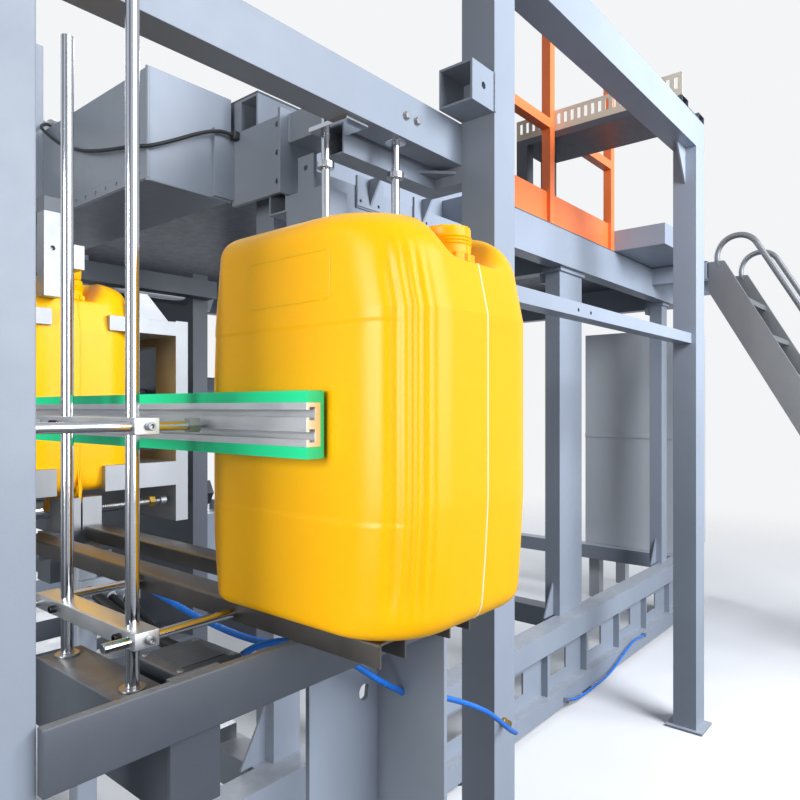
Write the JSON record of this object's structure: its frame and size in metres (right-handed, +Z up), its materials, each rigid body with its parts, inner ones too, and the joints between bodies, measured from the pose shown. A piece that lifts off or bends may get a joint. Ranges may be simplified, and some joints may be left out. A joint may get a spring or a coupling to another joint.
{
  "type": "blow moulding machine",
  "caption": "Shuttle blow moulding machine with extruder on a platform, closing moulds, take-out mask, and a can on its discharge slide.",
  "frame": {"origin": "on the floor under the mould axis, at the machine's middle foot; Y = 0 is the mould parting plane", "axes": "+X the way the cans leave, +Y towards the extruder drive, +Z up"},
  "size_m": [4.579, 6.21, 3.356],
  "materials": {
    "grey_paint": "blue-grey machine enamel, semi-gloss",
    "dark_paint": "dark grey enamel, dusty",
    "light_paint": "light grey powder coat",
    "orange_paint": "orange enamel",
    "chrome": "hard chromed ground rod",
    "aluminium": "milled and extruded aluminium",
    "steel": "bright machined steel",
    "cream_paint": "cream powder coat",
    "yellow_plastic": "blow moulded polyethylene, soft gloss",
    "green_plastic": "green sliding polyethylene",
    "black_plastic": "black plastic",
    "red_plastic": "red plastic button",
    "blue_hose": "blue polyurethane air hose"
  },
  "bodies": {
    "frame": {"base_side_right": "grey_paint", "base_side_left": "grey_paint", "base_cross_beams": "grey_paint", "levelling_feet": "dark_paint", "platform_columns": "grey_paint", "platform_frame": "grey_paint", "platform_deck": "dark_paint", "railing": "orange_paint", "ladder": "aluminium", "guard_posts": "grey_paint", "guard_beams": "grey_paint", "cable_tray": "cream_paint", "cable_bridge": "dark_paint", "top_beam": "grey_paint", "top_brackets": "grey_paint", "slide_cross_beam": "dark_paint", "rod_foot": "grey_paint", "upright_rods": "chrome", "rod_collars": "chrome", "clamp_bars": "aluminium", "reach_rods": "chrome", "clamp_screws": "dark_paint", "guide_profile": "aluminium", "guide_strip": "green_plastic", "slide_rails": "aluminium", "product_can": "yellow_plastic", "hanging_rods": "chrome", "junction_box": "dark_paint", "air_hoses": "blue_hose", "black_cable": "black_plastic", "shuttle_rails": "steel", "extruder_barrel": "steel", "heater_bands": "steel", "screw_gearbox": "grey_paint", "drive_motor": "dark_paint", "hopper": "steel", "die_head": "steel", "blow_pin_guide": "grey_paint", "control_cabinet": "light_paint", "panel_arm": "grey_paint", "hydraulic_unit": "grey_paint"},
    "clamp_carriage": {"carriage_frame": "grey_paint", "tie_bars": "chrome", "clamp_cylinders": "dark_paint", "held_can": "yellow_plastic", "flash_clamps": "aluminium"},
    "front_clamp": {"front_platen": "grey_paint", "front_mould": "aluminium", "front_mask": "aluminium"},
    "rear_clamp": {"rear_platen": "grey_paint", "rear_mould": "aluminium", "rear_mask": "aluminium"},
    "screw": {"extruder_screw": "chrome"},
    "lid": {"hopper_lid": "steel"},
    "pin": {"blow_pin": "chrome"},
    "door": {"cabinet_door": "light_paint"},
    "handle": {"door_handle": "black_plastic"},
    "panel": {"operator_panel": "light_paint"},
    "stop": {"stop_button": "red_plastic"},
    "start": {"start_button": "black_plastic"}
  },
  "joints": [
    {"name": "shuttle_slide", "type": "slide", "parent": "frame", "child": "clamp_carriage", "axis": [1, 0, 0], "range_m": [-0.832, 0]},
    {"name": "front_clamp_slide", "type": "slide", "parent": "clamp_carriage", "child": "front_clamp", "axis": [0, -1, 0], "range_m": [0, 0.25]},
    {"name": "rear_clamp_slide", "type": "slide", "parent": "clamp_carriage", "child": "rear_clamp", "axis": [0, 1, 0], "range_m": [0, 0.25]},
    {"name": "screw_spin", "type": "hinge", "parent": "frame", "child": "screw", "pos_m": [-0.832, 0, 2.7], "axis": [0, 1, 0], "continuous": true},
    {"name": "lid_hinge", "type": "hinge", "parent": "frame", "child": "lid", "pos_m": [-0.832, 3.065, 3.348], "axis": [-1, 0, 0], "range_deg": [0, 100]},
    {"name": "blow_pin_slide", "type": "slide", "parent": "frame", "child": "pin", "axis": [0, 0, -1], "range_m": [0, 0.085]},
    {"name": "door_hinge", "type": "hinge", "parent": "frame", "child": "door", "pos_m": [0.9135, 4.854, 1.2], "axis": [0, 0, 1], "range_deg": [0, 110]},
    {"name": "door_handle_turn", "type": "hinge", "parent": "door", "child": "handle", "pos_m": [0.926, 4.305, 1.25], "axis": [1, 0, 0], "range_deg": [0, 90]},
    {"name": "panel_swivel", "type": "hinge", "parent": "frame", "child": "panel", "pos_m": [0.6, -1.26, 1.4], "axis": [0, 0, 1], "range_deg": [-60, 60]},
    {"name": "stop_push", "type": "slide", "parent": "panel", "child": "stop", "axis": [0, 1, 0], "range_m": [0, 0.005], "stiffness_N_per_m": 800},
    {"name": "start_push", "type": "slide", "parent": "panel", "child": "start", "axis": [0, 1, 0], "range_m": [0, 0.005], "stiffness_N_per_m": 600}
  ],
  "couplings": [
    {"joint": "rear_clamp_slide", "follows": "front_clamp_slide", "ratio": 1}
  ]
}
